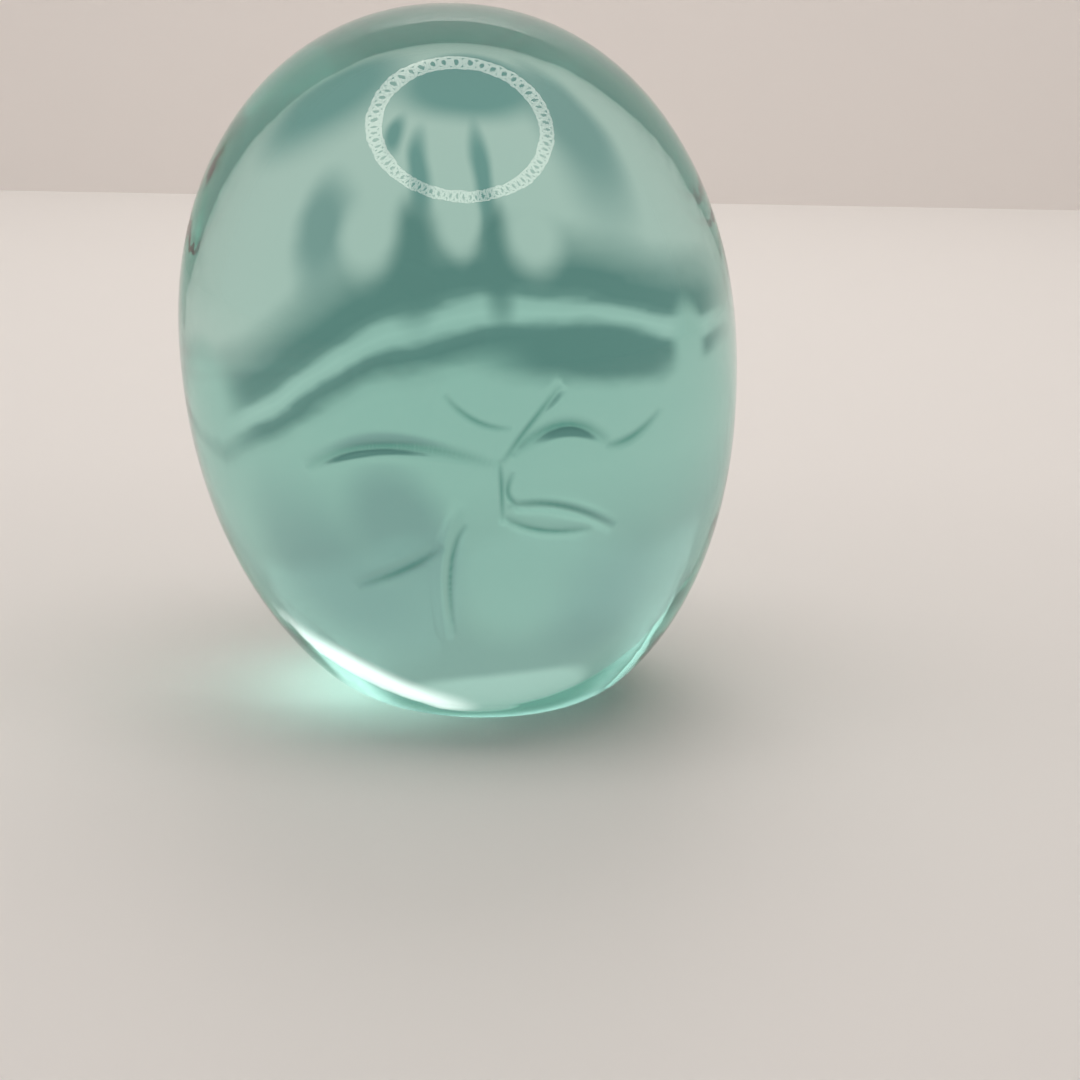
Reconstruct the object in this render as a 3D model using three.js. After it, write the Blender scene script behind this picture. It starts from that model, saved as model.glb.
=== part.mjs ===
// A solid glass paperweight: an egg of clear aqua glass that stands on a small flat foot.
// Millimetres, +Z up. The origin is the middle of the foot, on the surface that the foot rests on.
import * as THREE from "three";

// Driving dimensions, in millimetres.
const BELLY_RADIUS = 33; // half the greatest width
const BELLY_HEIGHT = 41.3; // height of the widest ring above the foot
const DOME_RISE = 40; // from the widest ring up to the top
const TAPER_DEPTH = 46.5; // from the widest ring down to where the taper would close in a point
const HEEL_HEIGHT = 3; // height of the softened edge round the foot
const HEEL_WIDTH = 1; // how far the softened edge draws the foot in
const LEAN = 3.95; // how far the top stands to the left (-X) of the foot

// The wall is a superellipse in side view: an exponent of 2 is an ellipse, and more is fuller.
const FULLNESS = 2.1;

const HEIGHT = BELLY_HEIGHT + DOME_RISE;
const QUARTER_TURN = Math.PI / 2;

// How finely the egg is divided.
const SIDES = 64;
const HEEL_RINGS = 4;
const TAPER_RINGS = 14;
const DOME_RINGS = 20;

// Half the width of the glass at a height above the foot.
function halfWidth(z) {
  const reach = z > BELLY_HEIGHT ? DOME_RISE : TAPER_DEPTH;
  const rise = Math.min(1, Math.abs(z - BELLY_HEIGHT) / reach);
  const wall = BELLY_RADIUS * (1 - rise ** FULLNESS) ** (1 / FULLNESS);
  const down = Math.max(0, 1 - z / HEEL_HEIGHT);
  return wall - HEEL_WIDTH * (1 - Math.sqrt(1 - down * down));
}

// How far the glass has moved sideways at a height: a quarter of a sine wave, upright near the top.
function sideStep(z) {
  return -LEAN * Math.sin((QUARTER_TURN * z) / HEIGHT);
}

// The heights of the rings: close together at the heel and the top, where the wall turns fastest.
function ringHeights() {
  const heights = [];
  for (let i = 0; i < HEEL_RINGS; i++) {
    heights.push(HEEL_HEIGHT * (1 - Math.cos((QUARTER_TURN * i) / HEEL_RINGS)));
  }
  const lowest = Math.asin((BELLY_HEIGHT - HEEL_HEIGHT) / TAPER_DEPTH);
  for (let i = 0; i < TAPER_RINGS; i++) {
    heights.push(BELLY_HEIGHT - TAPER_DEPTH * Math.sin(lowest * (1 - i / TAPER_RINGS)));
  }
  for (let i = 0; i < DOME_RINGS; i++) {
    heights.push(BELLY_HEIGHT + DOME_RISE * Math.sin((QUARTER_TURN * i) / DOME_RINGS));
  }
  return heights;
}

// The one gather of glass, turned about its axis and then leaned over its foot.
function glassBody() {
  const wall = ringHeights().map((z) => new THREE.Vector2(halfWidth(z), z));
  const outline = [new THREE.Vector2(0, 0), ...wall, new THREE.Vector2(0, HEIGHT)];
  const geometry = new THREE.LatheGeometry(outline, SIDES).rotateX(QUARTER_TURN);
  const corners = geometry.getAttribute("position");
  for (let i = 0; i < corners.count; i++) {
    corners.setX(i, corners.getX(i) + sideStep(corners.getZ(i)));
  }
  geometry.computeVertexNormals();
  const aquaGlass = new THREE.MeshStandardMaterial({
    color: 0x86bfb0,
    roughness: 0.03,
    metalness: 0,
    transparent: true,
    opacity: 0.35,
  });
  const body = new THREE.Mesh(geometry, aquaGlass);
  body.name = "glass_body";
  return body;
}

const paperweight = new THREE.Group();
paperweight.add(glassBody());

export default paperweight;
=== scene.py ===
"""A solid glass egg paperweight on a pale table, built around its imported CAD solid."""

import math

import bpy
import numpy as np
from mathutils import Matrix, Vector


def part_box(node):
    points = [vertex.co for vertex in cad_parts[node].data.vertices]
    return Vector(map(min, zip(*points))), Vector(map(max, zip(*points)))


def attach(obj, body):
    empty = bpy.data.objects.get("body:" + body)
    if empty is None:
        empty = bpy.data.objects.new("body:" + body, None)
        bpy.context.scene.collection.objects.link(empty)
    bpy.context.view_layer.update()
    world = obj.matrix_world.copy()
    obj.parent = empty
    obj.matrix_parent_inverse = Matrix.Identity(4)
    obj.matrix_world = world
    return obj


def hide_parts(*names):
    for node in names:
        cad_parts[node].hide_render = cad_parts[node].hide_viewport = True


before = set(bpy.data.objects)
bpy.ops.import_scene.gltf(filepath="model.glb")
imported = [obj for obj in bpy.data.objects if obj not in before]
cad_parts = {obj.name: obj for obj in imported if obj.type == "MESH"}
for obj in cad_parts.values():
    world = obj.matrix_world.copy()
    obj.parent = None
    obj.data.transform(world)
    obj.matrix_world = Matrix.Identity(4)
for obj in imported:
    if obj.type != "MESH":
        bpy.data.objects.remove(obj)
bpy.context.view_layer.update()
scene = bpy.context.scene
scene.view_settings.view_transform = "Standard"
# Light is mirrored many times inside solid glass before it gets out.
scene.cycles.glossy_bounces = 12


# --- Camera ---------------------------------------------------------------------------------
# It stands a hand's length in front of the glass, a little above it, and looks down past it at
# the table, turned slightly about its own line of sight.
VIEW_DOWN = math.radians(15.5)
VIEW_ROLL = math.radians(1.06)
VIEW_ANGLE = math.radians(25.0)
VIEW_DISTANCE = 0.2904
AIM = Vector((0.0072, -0.0058, 0.0192))

looking = Vector((0, math.cos(VIEW_DOWN), -math.sin(VIEW_DOWN)))
level_right = Vector((1, 0, 0))
level_up = level_right.cross(looking)
right = level_right * math.cos(VIEW_ROLL) + level_up * math.sin(VIEW_ROLL)
up = right.cross(looking)
lens = bpy.data.cameras.new("camera")
lens.angle = VIEW_ANGLE
lens.clip_start = 0.01
camera = bpy.data.objects.new("camera", lens)
camera.matrix_world = Matrix.Translation(AIM - looking * VIEW_DISTANCE) @ Matrix(
    (right, up, -looking)).transposed().to_4x4()
scene.collection.objects.link(camera)
scene.camera = camera


# --- Glass body -----------------------------------------------------------------------------
# One gather of aqua glass, shaped hot and left to fire-polish: a domed egg that was set down
# on a flat foot while it was still soft, so that it leans a little.
NODE = "glass_body"
node_low, node_high = (np.array(corner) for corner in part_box(NODE))
HEIGHT = node_high[2]
BELLY_RADIUS = (node_high[1] - node_low[1]) / 2
BELLY_HEIGHT = 0.0413
DOME_RISE = HEIGHT - BELLY_HEIGHT
TAPER_DEPTH = 0.0465
HEEL_HEIGHT = 0.003
HEEL_WIDTH = 0.001
LEAN = 0.00395
FULLNESS = 2.1


def half_width(z):
    """Half the width at height z: a superellipse above and below the belly, less the rounded heel."""
    reach = np.where(z > BELLY_HEIGHT, DOME_RISE, TAPER_DEPTH)
    rise = np.minimum(1, np.abs(z - BELLY_HEIGHT) / reach)
    wall = BELLY_RADIUS * (1 - rise ** FULLNESS) ** (1 / FULLNESS)
    down = np.clip(1 - z / HEEL_HEIGHT, 0, 1)
    return wall - HEEL_WIDTH * (1 - np.sqrt(1 - down ** 2))


def side_step(z):
    """How far the glass leans to the left at height z: a quarter of a sine wave from foot to top."""
    return -LEAN * np.sin(np.pi / 2 * z / HEIGHT)


def mesh_piece(name, points, faces):
    """A smooth-shaded mesh object from an array of points and lists of corner numbers."""
    mesh = bpy.data.meshes.new(name)
    mesh.from_pydata(points, [], faces)
    mesh.polygons.foreach_set("use_smooth", np.ones(len(mesh.polygons), dtype=bool))
    mesh.update()
    piece = bpy.data.objects.new(name, mesh)
    scene.collection.objects.link(piece)
    return piece


PATH_STEPS = 49
END_FADE = 0.6


def crease(arc, up, path, width, depth, lap):
    """Height of a crease: minus depth times a bell curve of the distance from a curved path, plus lap
    times that distance over the width times the same bell, the other way up on the other side. The
    bell is times the sine of pi times the share of the path, to the power of END_FADE."""
    start, bend, end = (np.array(corner) for corner in path)
    nearest = np.full(arc.shape, np.inf)
    share, side = np.zeros(arc.shape), np.zeros(arc.shape)
    for step in np.linspace(0, 1, PATH_STEPS):
        spot = start * (1 - step) ** 2 + 2 * bend * step * (1 - step) + end * step ** 2
        along = (bend - start) * (1 - step) + (end - bend) * step
        gap = np.hypot(arc - spot[0], up - spot[1])
        nearer = gap < nearest
        nearest = np.where(nearer, gap, nearest)
        share = np.where(nearer, step, share)
        turned = along[0] * (up - spot[1]) - along[1] * (arc - spot[0])
        side = np.where(nearer, np.sign(turned), side)
    bell = np.exp(-(nearest / width) ** 2) * np.sin(np.pi * share) ** END_FADE
    return -depth * bell + lap * side * nearest / width * bell


def swell(arc, up, centre, reach, height):
    """Height of a smooth swell or dent: a bell curve of the distance from its centre, longer one way."""
    return height * np.exp(-((arc - centre[0]) / reach[0]) ** 2 - ((up - centre[1]) / reach[1]) ** 2)


# Each crease: start, bend and end as millimetres round the front and up, then its width, its
# depth (less than nothing on a ridge) and its lap, the step from one side to the other.
CREASES = [
    ((5.3, 35.4), (5.4, 32.0), (5.2, 28.0), 0.40, 0.40, 0.00),
    ((6.8, 34.0), (4.8, 30.6), (7.8, 30.0), 0.40, 0.30, 0.08),
    ((5.6, 30.0), (11.5, 31.4), (18.6, 26.6), 0.70, 0.12, 0.50),
    ((5.2, 29.0), (8.6, 26.2), (15.6, 26.8), 0.60, 0.24, 0.00),
    ((5.2, 34.6), (8.4, 38.8), (12.4, 43.4), 0.60, 0.22, 0.10),
    ((6.4, 35.8), (13.0, 41.8), (18.4, 36.2), 1.10, 0.40, 0.00),
    ((17.4, 36.4), (20.6, 35.6), (25.4, 39.4), 0.80, 0.20, 0.06),
    ((-17.0, 33.0), (-8.0, 39.4), (5.2, 34.6), 1.00, 0.42, 0.00),
    ((-0.4, 42.6), (2.4, 38.8), (6.8, 38.8), 0.50, 0.14, 0.00),
    ((0.9, 30.6), (-2.9, 25.6), (-2.0, 13.2), 0.70, -0.34, 0.00),
    ((1.3, 28.0), (-1.7, 24.6), (-1.0, 13.8), 0.50, 0.16, 0.00),
    ((-1.2, 25.4), (-5.0, 22.2), (-12.0, 19.4), 0.80, 0.24, 0.16),
]
# Each swell or dent: its centre and its reach, round and up, then its height.
SWELLS = [
    ((-7.0, 27.0), (5.0, 5.0), -0.25),
    ((6.0, 20.0), (5.0, 6.0), 0.25),
]


WAVE_HEIGHT = 0.03
HIGHEST_SUM = 2.7


def waves(around, up):
    """Height of the slow waves left by shaping: three crossed sines less their highest sum, so that
    they only sink into the back, and nothing at the foot, the top and the front."""
    shape = (np.sin(3 * around + up / 9) + np.sin(5 * around - up / 14 + 1.3)
             + 0.7 * np.sin(2 * around + up / 4.5 + 0.6))
    fade = np.clip(up / 12, 0, 1) * np.clip((78 - up) / 20, 0, 1)
    return WAVE_HEIGHT * fade * (shape - HIGHEST_SUM) * np.clip(-np.cos(around) + 0.2, 0, 1)


# The grid is finer round the front and at the height of the folds.
FRONT_COLUMNS, BACK_COLUMNS = 236, 184
COLUMNS = FRONT_COLUMNS + BACK_COLUMNS
FRONT_SECTOR = math.radians(44)
HEEL_RINGS, TAPER_RINGS, FOLD_RINGS, DOME_RINGS = 12, 22, 108, 83
FOLDS_FROM, FOLDS_TO = 0.018, 0.0435
turn = np.concatenate((
    np.linspace(-FRONT_SECTOR, FRONT_SECTOR, FRONT_COLUMNS, endpoint=False),
    np.linspace(FRONT_SECTOR, 2 * np.pi - FRONT_SECTOR, BACK_COLUMNS, endpoint=False)))
z = np.concatenate((
    HEEL_HEIGHT * (1 - np.cos(np.linspace(0, np.pi / 2, HEEL_RINGS, endpoint=False))),
    np.linspace(HEEL_HEIGHT, FOLDS_FROM, TAPER_RINGS, endpoint=False),
    np.linspace(FOLDS_FROM, FOLDS_TO, FOLD_RINGS, endpoint=False),
    FOLDS_TO + (HEIGHT - FOLDS_TO) * np.sin(np.linspace(0, np.pi / 2, DOME_RINGS))[:-1]))

around, height = np.meshgrid(turn, z)
radius = half_width(height)
arc, up = 1000 * radius * np.where(around > np.pi, around - 2 * np.pi, around), 1000 * height
relief, crease_shade = 0 * arc, 0 * arc
# The painted shade line in a crease: its share of the crease's width, and its least and greatest width.
LINE_SHARE, LINE_LEAST, LINE_MOST = 0.62, 0.30, 0.62
for start, bend, end, width, depth, lap in CREASES:
    relief = relief + crease(arc, up, (start, bend, end), width, depth, lap)
    # Each dented crease also gets a line of painted shade down its middle.
    if depth > 0:
        line = min(LINE_MOST, max(LINE_LEAST, LINE_SHARE * width))
        crease_shade = np.maximum(crease_shade, crease(arc, up, (start, bend, end), line, -1.0, 0.0))
for centre, reach, rise in SWELLS:
    relief = relief + swell(arc, up, centre, reach, rise)
radius = radius + (relief + waves(around, up)) / 1000
x = side_step(height) + radius * np.sin(around)
y = -radius * np.cos(around)
wall_points = np.stack((x, y, height), -1).reshape(-1, 3)
foot_centre = len(wall_points)
top_centre = foot_centre + 1
points = np.concatenate((wall_points, [[0, 0, 0]], [[side_step(HEIGHT), 0, HEIGHT]]))
ring, column = np.meshgrid(np.arange(len(z) - 1), np.arange(COLUMNS), indexing="ij")
beside = (column + 1) % COLUMNS
quads = np.stack((ring * COLUMNS + column, ring * COLUMNS + beside,
                  (ring + 1) * COLUMNS + beside, (ring + 1) * COLUMNS + column), -1).reshape(-1, 4)
here, after = np.arange(COLUMNS), (np.arange(COLUMNS) + 1) % COLUMNS
last = (len(z) - 1) * COLUMNS
foot_fan = np.stack((here * 0 + foot_centre, after, here), -1)
top_fan = np.stack((here * 0 + top_centre, last + here, last + after), -1)
glass = mesh_piece("glass_egg", points, quads.tolist() + foot_fan.tolist() + top_fan.tolist())

# The painted crease shade is kept on the points, for the glass colour to read.
crease_shade_mark = glass.data.attributes.new("crease_shade_mark", "FLOAT", "POINT")
crease_shade_mark.data.foreach_set("value", np.concatenate((crease_shade.ravel(), (0, 0))))

material = bpy.data.materials.new("aqua_glass")
material.use_nodes = True
nodes, links = material.node_tree.nodes, material.node_tree.links
shader = nodes["Principled BSDF"]
shader.inputs["Base Color"].default_value = (1, 1, 1, 1)
shader.inputs["Roughness"].default_value = 0.0
shader.inputs["IOR"].default_value = 1.52
shader.inputs["Transmission Weight"].default_value = 1.0
# Painted shade: the glass's colour is darker along the middle of each dented crease, where the creases
# look dark.
mark = nodes.new("ShaderNodeAttribute")
mark.attribute_name = "crease_shade_mark"
crease_shade_colour = nodes.new("ShaderNodeValToRGB")
crease_shade_colour.color_ramp.elements[0].color = (1, 1, 1, 1)
crease_shade_colour.color_ramp.elements[1].color = (0.12, 0.34, 0.31, 1)
links.new(mark.outputs["Fac"], crease_shade_colour.inputs["Fac"])
links.new(crease_shade_colour.outputs["Color"], shader.inputs["Base Color"])
# The fire-polished skin is very slightly uneven, in slow swirls with finer ones on them.
place = nodes.new("ShaderNodeTexCoord")
skin = nodes.new("ShaderNodeTexNoise")
skin.inputs["Scale"].default_value = 160.0
skin.inputs["Detail"].default_value = 2.0
links.new(place.outputs["Object"], skin.inputs["Vector"])
swirl = nodes.new("ShaderNodeTexNoise")
swirl.inputs["Scale"].default_value = 45.0
swirl.inputs["Detail"].default_value = 1.0
links.new(place.outputs["Object"], swirl.inputs["Vector"])
both = nodes.new("ShaderNodeMath")
both.operation = "MULTIPLY_ADD"
links.new(swirl.outputs["Fac"], both.inputs[0])
both.inputs[1].default_value = 4.0
links.new(skin.outputs["Fac"], both.inputs[2])
peel = nodes.new("ShaderNodeBump")
peel.inputs["Strength"].default_value = 0.6
peel.inputs["Distance"].default_value = 0.00006
links.new(both.outputs[0], peel.inputs["Height"])
links.new(peel.outputs["Normal"], shader.inputs["Normal"])
# The iron in the glass takes out the red along the way that light goes in it.
tint = nodes.new("ShaderNodeVolumeAbsorption")
tint.inputs["Color"].default_value = (0.45, 0.83, 0.77, 1)
tint.inputs["Density"].default_value = 20.0
links.new(tint.outputs["Volume"], nodes["Material Output"].inputs["Volume"])
glass.data.materials.append(material)
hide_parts(NODE)
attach(glass, "root")


# --- Table and wall -------------------------------------------------------------------------
# A plain pale table top with a plain wall behind it, neither of them part of the object. Through
# the glass, the painted room of the next section stands in for both.
def plain_material(name, colour, roughness):
    """A matt material of one colour."""
    made = bpy.data.materials.new(name)
    made.use_nodes = True
    matt = made.node_tree.nodes["Principled BSDF"]
    matt.inputs["Base Color"].default_value = (*colour, 1)
    matt.inputs["Roughness"].default_value = roughness
    return made


def sheet(name, corners, surface):
    """A flat four-cornered sheet that isn't part of the object."""
    made = mesh_piece(name, corners, [(0, 1, 2, 3)])
    made.data.materials.append(surface)
    return made


TABLE_BACK, TABLE_FRONT, TABLE_SIDE = 0.445, -1.2, 1.5
TABLE_TOP, WALL_TOP = -0.0002, 1.2
table = sheet("table", [(-TABLE_SIDE, TABLE_FRONT, TABLE_TOP), (TABLE_SIDE, TABLE_FRONT, TABLE_TOP),
                        (TABLE_SIDE, TABLE_BACK, TABLE_TOP), (-TABLE_SIDE, TABLE_BACK, TABLE_TOP)],
              plain_material("table_top", (0.80, 0.765, 0.73), 0.5))
wall = sheet("wall", [(-TABLE_SIDE, TABLE_BACK, TABLE_TOP), (TABLE_SIDE, TABLE_BACK, TABLE_TOP),
                      (TABLE_SIDE, TABLE_BACK, WALL_TOP), (-TABLE_SIDE, TABLE_BACK, WALL_TOP)],
             plain_material("wall_paint", (0.90, 0.84, 0.80), 0.8))
table.visible_transmission = False
wall.visible_transmission = False


# --- Room and lamps -------------------------------------------------------------------------
# An even room light outside the glass. Light that has gone through the glass meets a painted room, which
# depends on the direction alone: light and dark strips, with soft painted ovals over them, painted shadow
# and painted glow among them.
world = bpy.data.worlds.new("room")
world.use_nodes = True
scene.world = world
nodes, links = world.node_tree.nodes, world.node_tree.links
open_room = nodes["Background"]
open_room.inputs["Color"].default_value = (1.0, 0.97, 0.95, 1)
open_room.inputs["Strength"].default_value = 0.38


def math_node(kind, *values):
    """A math node; each value is a number or another node's output."""
    made = nodes.new("ShaderNodeMath")
    made.operation = kind
    for socket, value in zip(made.inputs, values):
        if isinstance(value, (int, float)):
            socket.default_value = value
        else:
            links.new(value, socket)
    return made.outputs[0]


def colour_mix(share, under, over):
    """One colour over another by a share from 0 to 1."""
    made = nodes.new("ShaderNodeMix")
    made.data_type = "RGBA"
    links.new(share, made.inputs[0])
    for socket, value in zip((made.inputs[6], made.inputs[7]), (under, over)):
        if isinstance(value, tuple):
            socket.default_value = (*value, 1)
        else:
            links.new(value, socket)
    return made.outputs[2]


# Degrees round from straight ahead and up from level, both shifted a little by a slow ripple.
DEGREES = 57.3
direction = nodes.new("ShaderNodeTexCoord").outputs["Generated"]
ripple = nodes.new("ShaderNodeTexNoise")
ripple.inputs["Scale"].default_value = 2.5
ripple.inputs["Detail"].default_value = 1.0
links.new(direction, ripple.inputs["Vector"])
moved = nodes.new("ShaderNodeSeparateXYZ")
links.new(ripple.outputs["Color"], moved.inputs[0])
parts = nodes.new("ShaderNodeSeparateXYZ")
links.new(direction, parts.inputs[0])
side = math_node("MULTIPLY", math_node("ARCTAN2", parts.outputs["X"], parts.outputs["Y"]), DEGREES)
rise = math_node("MULTIPLY", math_node("ARCSINE", parts.outputs["Z"]), DEGREES)
side = math_node("ADD", side, math_node("MULTIPLY_ADD", moved.outputs[0], 8.0, -4.0))
rise = math_node("ADD", rise, math_node("MULTIPLY_ADD", moved.outputs[1], 3.0, -1.5))
# The strips climb to the right, up to 45 degrees round.
climb = math_node("MULTIPLY", math_node("MINIMUM", math_node("SMOOTH_MAX", side, 0.0, 12.0), 45.0), 0.36)
level = math_node("SUBTRACT", rise, climb)
strip = nodes.new("ShaderNodeValToRGB")
links.new(math_node("MULTIPLY_ADD", level, 1 / 180, 0.5), strip.inputs["Fac"])
TABLE_TONE, DARK, MID, PALE = (.72, .66, .61), (.175, .27, .25), (.41, .475, .44), (.51, .59, .53)
ARC, LAMP, CEILING = (.60, .66, .60), (.68, .74, .68), (.12, .13, .12)
stops = [(-25.0, TABLE_TONE), (-19.0, DARK), (-17.0, DARK), (-16.0, ARC), (-14.9, ARC), (-14.0, DARK),
         (-13.2, DARK), (-11.8, PALE), (-4.0, PALE), (6.0, MID), (50.0, MID), (62.0, CEILING)]
elements = strip.color_ramp.elements
for number, (angle, colour) in enumerate(stops):
    element = elements[number] if number < 2 else elements.new(angle / 180 + 0.5)
    element.position = angle / 180 + 0.5
    element.color = (*colour, 1)
seen = strip.outputs["Color"]
place = nodes.new("ShaderNodeCombineXYZ")
links.new(side, place.inputs[0])
links.new(rise, place.inputs[1])


def painted_oval(under, centre, reach, edge, colour):
    """A soft oval of one colour over another: its share is a smooth step of the distance from the
    centre, each way divided by the reach, and falls from 1 to 0 as that goes from 1 - edge to 1 + edge."""
    offset = nodes.new("ShaderNodeVectorMath")
    offset.operation = "SUBTRACT"
    links.new(place.outputs[0], offset.inputs[0])
    offset.inputs[1].default_value = (*centre, 0)
    shares = nodes.new("ShaderNodeVectorMath")
    shares.operation = "DIVIDE"
    links.new(offset.outputs[0], shares.inputs[0])
    shares.inputs[1].default_value = (*reach, 1)
    away = nodes.new("ShaderNodeVectorMath")
    away.operation = "LENGTH"
    links.new(shares.outputs[0], away.inputs[0])
    mask = nodes.new("ShaderNodeMapRange")
    mask.interpolation_type = "SMOOTHSTEP"
    links.new(away.outputs["Value"], mask.inputs["Value"])
    mask.inputs["From Min"].default_value = 1 + edge
    mask.inputs["From Max"].default_value = 1 - edge
    return colour_mix(mask.outputs[0], under, colour)


SHADE, HAZE, DIM, SOFT = (.26, .36, .34), (.33, .39, .37), (.36, .42, .40), (.45, .52, .47)
# The two brightest tones are painted glow: seen only through the glass, they light nothing.
PAINTED_GLOW, GLINT, FLOOR_SHADE = (2.5, 2.0, 2.0), (2.10, 1.85, 1.80), (.34, .33, .31)
# Each painted oval: where it lies (degrees round and up), how far it reaches, its soft edge and its
# colour. The two broad dark ovals about 48 degrees down and behind are painted shadow of the glass on the
# table behind it; the two dim ovals 28 degrees down in front are painted shade on the table there; the
# brightest ovals are painted glow.
PAINTED_OVALS = [
    ((33, -48), (20, 13), 0.45, SHADE),
    ((-6, -49), (17, 11), 0.25, SHADE),
    ((-27, -42), (8, 15), 0.55, HAZE),
    ((18, -22), (5, 6), 0.60, HAZE),
    ((7, -35), (1.6, 3.5), 0.60, SHADE),
    ((3, -29), (1.4, 6), 0.60, SHADE),
    ((-5.5, -29), (1.4, 7), 0.60, SHADE),
    ((4, -20), (3, 5), 0.50, DARK),
    ((-7, -20), (2.5, 5), 0.50, DARK),
    ((-1.8, -23), (2.4, 3.6), 0.40, TABLE_TONE),
    ((-13, -22), (4.5, 3.5), 0.50, TABLE_TONE),
    ((10, -21), (4, 4), 0.50, TABLE_TONE),
    ((-22, -12.4), (16, 2.4), 0.40, DARK),
    ((-45, -14), (6, 4), 0.50, PALE),
    ((53, -2), (16, 5.5), 0.50, PALE),
    ((7, 2), (6, 5), 0.60, DIM),
    ((20, 11), (15, 9), 0.60, DIM),
    ((-8, 8), (8, 8), 0.50, SOFT),
    ((-26, 15), (10, 9), 0.70, DIM),
    ((-10, 44), (26, 18), 0.12, LAMP),
    ((36, 51), (34, 19), 0.25, PAINTED_GLOW),
    ((-82, -16), (20, 9), 0.60, TABLE_TONE),
    ((-170, 58), (20, 7), 0.40, PALE),
    ((170, 58), (20, 7), 0.40, PALE),
    ((-168, 46), (11, 8), 0.40, PAINTED_GLOW),
    ((175, 48), (13, 9), 0.30, GLINT),
    ((180, -28), (50, 22), 0.60, FLOOR_SHADE),
    ((-180, -28), (50, 22), 0.60, FLOOR_SHADE),
]
for centre, reach, edge, colour in PAINTED_OVALS:
    seen = painted_oval(seen, centre, reach, edge, colour)
seen_through = nodes.new("ShaderNodeBackground")
links.new(seen, seen_through.inputs["Color"])
# Light that the glass throws onto the table comes from a dim green room and one lamp high up.
DIM_ROOM, BRIGHT_LAMP = (.30, .40, .37), (42, 40, 39)
gathered = nodes.new("ShaderNodeBackground")
links.new(painted_oval(DIM_ROOM, (76, 75), (36, 8.5), 0.3, BRIGHT_LAMP), gathered.inputs["Color"])
through = nodes.new("ShaderNodeLightPath")
onto_table = nodes.new("ShaderNodeMixShader")
links.new(math_node("MINIMUM", through.outputs["Diffuse Depth"], 1.0), onto_table.inputs["Fac"])
links.new(seen_through.outputs[0], onto_table.inputs[1])
links.new(gathered.outputs[0], onto_table.inputs[2])
choose = nodes.new("ShaderNodeMixShader")
links.new(through.outputs["Is Transmission Ray"], choose.inputs["Fac"])
links.new(open_room.outputs[0], choose.inputs[1])
links.new(onto_table.outputs[0], choose.inputs[2])
links.new(choose.outputs[0], nodes["World Output"].inputs["Surface"])


def soft_lamp(name, width, depth, watts, colour, position):
    """An oval lamp that faces straight down, isn't mirrored and isn't seen through the glass."""
    light = bpy.data.lights.new(name, "AREA")
    light.shape = "ELLIPSE"
    light.size = width
    light.size_y = depth
    light.energy = watts
    light.color = colour
    lamp = bpy.data.objects.new(name, light)
    lamp.location = position
    lamp.visible_glossy = False
    lamp.visible_transmission = False
    scene.collection.objects.link(lamp)


soft_lamp("overhead", 1.5, 0.5, 4.6, (1.0, 0.98, 0.965), (0.0, -0.09, 1.0))
soft_lamp("far_lamp", 0.3, 0.3, 0.55, (1.0, 1.0, 1.0), (0.0, 0.36, 0.45))

# The ring lamp that the dome mirrors: a ring of flat glowing beads, each with a hole in it.
RING_HEIGHT, RING_RADIUS, RING_X, RING_Y = 0.200, 0.092, 0.008, -0.074
BEADS, SIDES = 62, 20
BEAD_HOLE, BEAD_RADIUS, BEAD_STEP = 0.0066, 0.0102, 0.0005
bead_angle = (2 * np.pi * np.arange(BEADS) / BEADS)[:, None, None]
side_angle = (2 * np.pi * np.arange(SIDES) / SIDES)[None, None, :]
bead_reach = np.array((BEAD_HOLE, BEAD_RADIUS))[None, :, None]
bead_x = RING_X + RING_RADIUS * np.cos(bead_angle) + bead_reach * np.cos(side_angle)
bead_y = RING_Y + RING_RADIUS * np.sin(bead_angle) + bead_reach * np.sin(side_angle)
# Neighbours overlap, so they lie at three slightly different heights.
bead_z = RING_HEIGHT + BEAD_STEP * (np.arange(BEADS) % 3)[:, None, None] + 0 * bead_x
bead_points = np.stack((bead_x, bead_y, bead_z), -1).reshape(-1, 3)
bead, corner = np.meshgrid(np.arange(BEADS) * 2 * SIDES, np.arange(SIDES), indexing="ij")
next_corner = (corner + 1) % SIDES
bead_faces = np.stack((bead + corner, bead + next_corner,
                       bead + SIDES + next_corner, bead + SIDES + corner), -1)
ring_lamp = mesh_piece("ring_lamp", bead_points, bead_faces.reshape(-1, 4).tolist())
glow = bpy.data.materials.new("lamp_glow")
glow.use_nodes = True
glow_shader = glow.node_tree.nodes["Principled BSDF"]
glow_shader.inputs["Emission Color"].default_value = (1, 0.93, 0.86, 1)
glow_shader.inputs["Emission Strength"].default_value = 4.8
ring_lamp.data.materials.append(glow)
ring_lamp.visible_camera = False
ring_lamp.visible_transmission = False
ring_lamp.visible_diffuse = False
